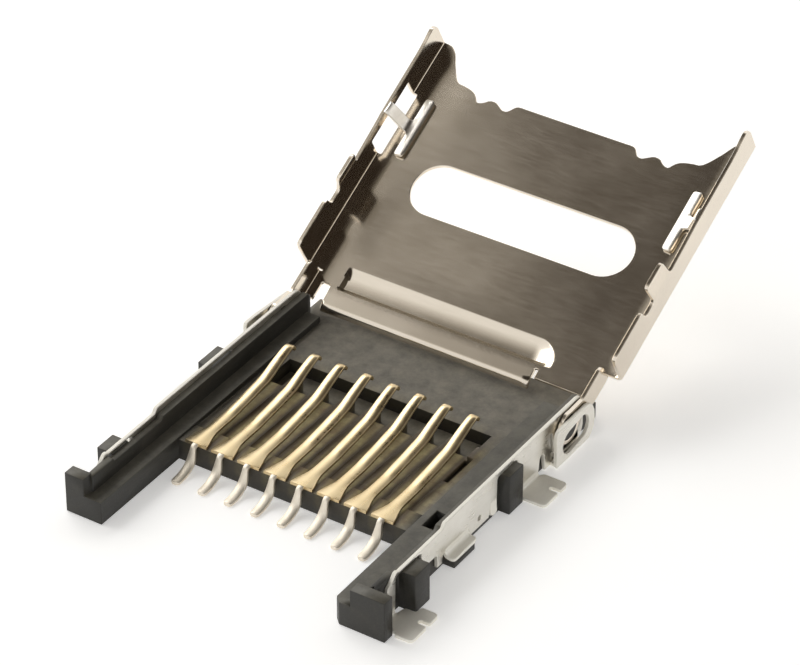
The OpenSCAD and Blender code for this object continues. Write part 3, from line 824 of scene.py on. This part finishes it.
# ---------------------------------------------------------------- housing
def broken_edges(src, d_max):
    """Copy of a moulding's exact mesh with every outer edge broken by a small chamfer."""
    bm = bmesh.new()
    bm.from_mesh(src.data)
    for v in bm.verts:
        v.co = (src.matrix_world @ v.co) / MM
    bmesh.ops.remove_doubles(bm, verts=bm.verts, dist=2e-4)
    bmesh.ops.dissolve_degenerate(bm, dist=1e-5, edges=bm.edges)
    bm.normal_update()
    bm.faces.ensure_lookup_table()
    bm.verts.ensure_lookup_table()
    region = {}
    normals = []
    for f0 in bm.faces:
        if f0.index in region:
            continue
        k = len(normals)
        normals.append(f0.normal.copy())
        region[f0.index] = k
        todo = [f0]
        while todo:
            f = todo.pop()
            for e in f.edges:
                for g in e.link_faces:
                    if g.index not in region and g.normal.dot(normals[k]) > 0.99995:
                        region[g.index] = k
                        todo.append(g)
    loops_of = [[] for _ in normals]
    seen = set()

    def inner(lp):
        o = lp.link_loop_radial_next
        return o is not lp and region[o.face.index] == region[lp.face.index]

    for f in bm.faces:
        for lp in f.loops:
            if inner(lp) or lp in seen:
                continue
            ring = []
            cur = lp
            while cur not in seen:
                seen.add(cur)
                ring.append(cur)
                nx = cur.link_loop_next
                while inner(nx):
                    nx = nx.link_loop_radial_next.link_loop_next
                cur = nx
            loops_of[region[f.index]].append(ring)
    verts, faces = [], []
    corner = {}
    lim = math.radians(30)
    for k, rings in enumerate(loops_of):
        n = normals[k]
        segs = [(lp, np.array(lp.vert.co), np.array(lp.link_loop_next.vert.co)) for ring in rings for lp in ring]
        A = np.array([s[1] for s in segs])
        B = np.array([s[2] for s in segs])
        off = {}
        for lp, a, b in segs:
            e = lp.edge
            if len(e.link_faces) != 2 or e.calc_face_angle_signed(0.0) < lim:
                off[lp] = 0.0
                continue
            mid = (a + b) / 2
            ab = B - A
            t = np.clip(((mid - A) * ab).sum(1) / np.maximum((ab * ab).sum(1), 1e-12), 0, 1)
            dd = np.linalg.norm(mid - (A + t[:, None] * ab), axis=1)
            dirs = ab / np.maximum(np.linalg.norm(ab, axis=1), 1e-9)[:, None]
            u = (b - a) / max(1e-9, np.linalg.norm(b - a))
            other = (np.abs(dirs @ u) > 0.3) & (dd > 1e-6)
            w = dd[other].min() if other.any() else 1.0
            off[lp] = min(d_max, 0.3 * w)
        u0 = n.orthogonal().normalized()
        v0 = n.cross(u0)
        flat_loops, ids = [], []
        for ring in rings:
            idx, fl = [], []
            m = len(ring)
            for i in range(m):
                prev, cur = ring[i - 1], ring[i]
                p = cur.vert.co
                d1 = (p - prev.vert.co).normalized()
                d2 = (cur.link_loop_next.vert.co - p).normalized()
                m1, m2 = n.cross(d1), n.cross(d2)
                o1, o2 = off[prev], off[cur]
                det = m1.dot(m1) * m2.dot(m2) - m1.dot(m2) ** 2
                if det < 1e-4:
                    q = m1 * o1 if abs(o1 - o2) < 1e-6 else m1 * min(o1, o2)
                    if m1.dot(m2) < 0:
                        q = Vector((0, 0, 0))
                else:
                    c = m1.dot(m2)
                    a1 = (o1 - c * o2) / (1 - c * c)
                    a2 = (o2 - c * o1) / (1 - c * c)
                    q = m1 * a1 + m2 * a2
                    if q.length > 4 * d_max:
                        q = q.normalized() * 4 * d_max
                q = p + q
                idx.append(len(verts))
                corner[cur] = len(verts)
                verts.append(tuple(q))
                fl.append((q.dot(u0), q.dot(v0)))
            flat_loops.append(fl)
            ids.append(idx)
        pts, edges, own = [], [], []
        for fl, idx in zip(flat_loops, ids):
            b = len(pts)
            pts += [Vector(x) for x in fl]
            own += idx
            edges += [(b + i, b + (i + 1) % len(fl)) for i in range(len(fl))]
        v2, _, tris, orig, _, _ = delaunay_2d_cdt(pts, edges, [], 0, 1e-6)
        if not tris:
            continue
        cen = [tuple((v2[a] + v2[b] + v2[c]) / 3) for a, b, c in tris]
        ok = inside(flat_loops, cen)
        z0 = Vector(verts[own[0]]).dot(n)
        place = []
        for q, src_ids in zip(v2, orig):
            if src_ids:
                place.append(own[src_ids[0]])
            else:
                place.append(len(verts))
                verts.append(tuple(u0 * q.x + v0 * q.y + n * z0))
        for t, good in zip(tris, ok):
            if good:
                f = tuple(place[i] for i in t)
                if len(set(f)) == 3:
                    faces.append(f)
    # strips along the edges
    start = {lp: c for lp, c in corner.items()}
    after = {}
    for rings in loops_of:
        for ring in rings:
            for i, lp in enumerate(ring):
                after[lp] = corner[ring[(i + 1) % len(ring)]]
    for e in bm.edges:
        if len(e.link_loops) != 2:
            continue
        l1, l2 = e.link_loops
        if l1 not in start or l2 not in start:
            continue
        quad = [start[l1], after[l2], start[l2], after[l1]]
        faces.append(tuple(quad))
    # small faces at the corners
    for v in bm.verts:
        outs = [lp for lp in v.link_loops if lp in start]
        if len(outs) < 3:
            continue
        # walk round the vertex from boundary to boundary
        fan, cur = [], outs[0]
        for _ in range(60):
            fan.append(start[cur])
            # the incoming boundary edge of this region at the vertex leads to the next region
            pr = cur
            while True:
                pr = pr.link_loop_prev
                if not inner(pr):
                    break
                pr = pr.link_loop_radial_next
            cur = pr.link_loop_radial_next
            if cur not in start or cur is outs[0]:
                break
        if len(fan) >= 3:
            faces.append(tuple(fan[::-1]))
    bm.free()
    return verts, faces


def build_housing():
    v, f = broken_edges(bpy.data.objects["housing"], 0.03)
    # drop what merging would turn into slivers
    clean = []
    for face in f:
        pts = []
        for i in face:
            if not pts or (Vector(v[i]) - Vector(v[pts[-1]])).length > 2e-4:
                pts.append(i)
        while len(pts) > 1 and (Vector(v[pts[0]]) - Vector(v[pts[-1]])).length <= 2e-4:
            pts.pop()
        if len(pts) >= 3:
            clean.append(tuple(pts))
    ob = make("housing_body", v, clean, [mat_plastic], sharp=62)
    ob.modifiers.new("normals", "WEIGHTED_NORMAL").keep_sharp = True
    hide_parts("housing")
    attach(ob, "base")
    return ob


build_housing()

# ---------------------------------------------------------------- floor and light
me = bpy.data.meshes.new("floor")
bm = bmesh.new()
bmesh.ops.create_grid(bm, x_segments=4, y_segments=4, size=1.5)
bm.to_mesh(me)
bm.free()
floor = bpy.data.objects.new("floor", me)
bpy.context.scene.collection.objects.link(floor)
m, nt, p = new_mat("floor_paper")
v = coords(nt, (1, 1, 1))
nt.links.new(ramp(nt, noise_tex(nt, v, 60, 4, 0.5), [(0.3, (0.925, 0.925, 0.92)), (0.7, (0.95, 0.95, 0.945))]), p.inputs["Base Color"])
nt.links.new(bump(nt, noise_tex(nt, v, 9000, 3, 0.5), 0.05, 0.00001), p.inputs["Normal"])
p.inputs["Roughness"].default_value = 0.85
p.inputs["Specular IOR Level"].default_value = 0.1
# the paper lies on a light table
p.inputs["Emission Color"].default_value = (1.0, 0.997, 0.99, 1)
p.inputs["Emission Strength"].default_value = 0.36
me.materials.append(m)

world = bpy.data.worlds.new("studio")
bpy.context.scene.world = world
world.use_nodes = True
wt = world.node_tree
bg = wt.nodes["Background"]
tc = wt.nodes.new("ShaderNodeTexCoord")
sx = wt.nodes.new("ShaderNodeSeparateXYZ")
wt.links.new(tc.outputs["Generated"], sx.inputs[0])
# bright low surroundings, dark overhead and towards the upper right
tilt = math_node(wt, "ADD", sx.outputs["Z"], math_node(wt, "MULTIPLY", sx.outputs["X"], 0.3))
rp = wt.nodes.new("ShaderNodeValToRGB")
el = rp.color_ramp.elements
el[0].position, el[0].color = 0.0, (1.0, 0.995, 0.985, 1)
el[1].position, el[1].color = 1.0, (0.028, 0.022, 0.018, 1)
for at_, c_ in ((0.63, (1.0, 0.99, 0.97)), (0.69, (0.64, 0.62, 0.58)), (0.73, (0.37, 0.345, 0.305)), (0.77, (0.075, 0.064, 0.05)), (0.81, (0.028, 0.022, 0.017))):
    e = el.new(at_)
    e.color = (*c_, 1)
wt.links.new(tilt, rp.inputs["Fac"])
# a little less light from the front
front = span(wt, sx.outputs["Y"], -0.65, -0.1, 0.84, 1.0)
wt.links.new(mix_col(wt, 1.0, rp.outputs["Color"], front, "MULTIPLY"), bg.inputs["Color"])
bg.inputs["Strength"].default_value = 1.12


def softbox(name, where, aim, size, power, colour=(1, 1, 1)):
    ld = bpy.data.lights.new(name, "AREA")
    ld.shape = "RECTANGLE"
    ld.size, ld.size_y = size[0] * MM, size[1] * MM
    ld.energy = power
    ld.color = colour
    ob = bpy.data.objects.new(name, ld)
    bpy.context.scene.collection.objects.link(ob)
    ob.location = Vector(where) * MM
    ob.rotation_euler = (Vector(where) - Vector(aim)).to_track_quat("Z", "Y").to_euler()
    ob.visible_camera = False
    return ob


softbox("key", (-165, 30, 150), (0, 3, 0), (220, 120), 0.21, (1.0, 0.985, 0.96))

vs_ = bpy.context.scene.view_settings
vs_.view_transform = "Standard"
vs_.look = "None"
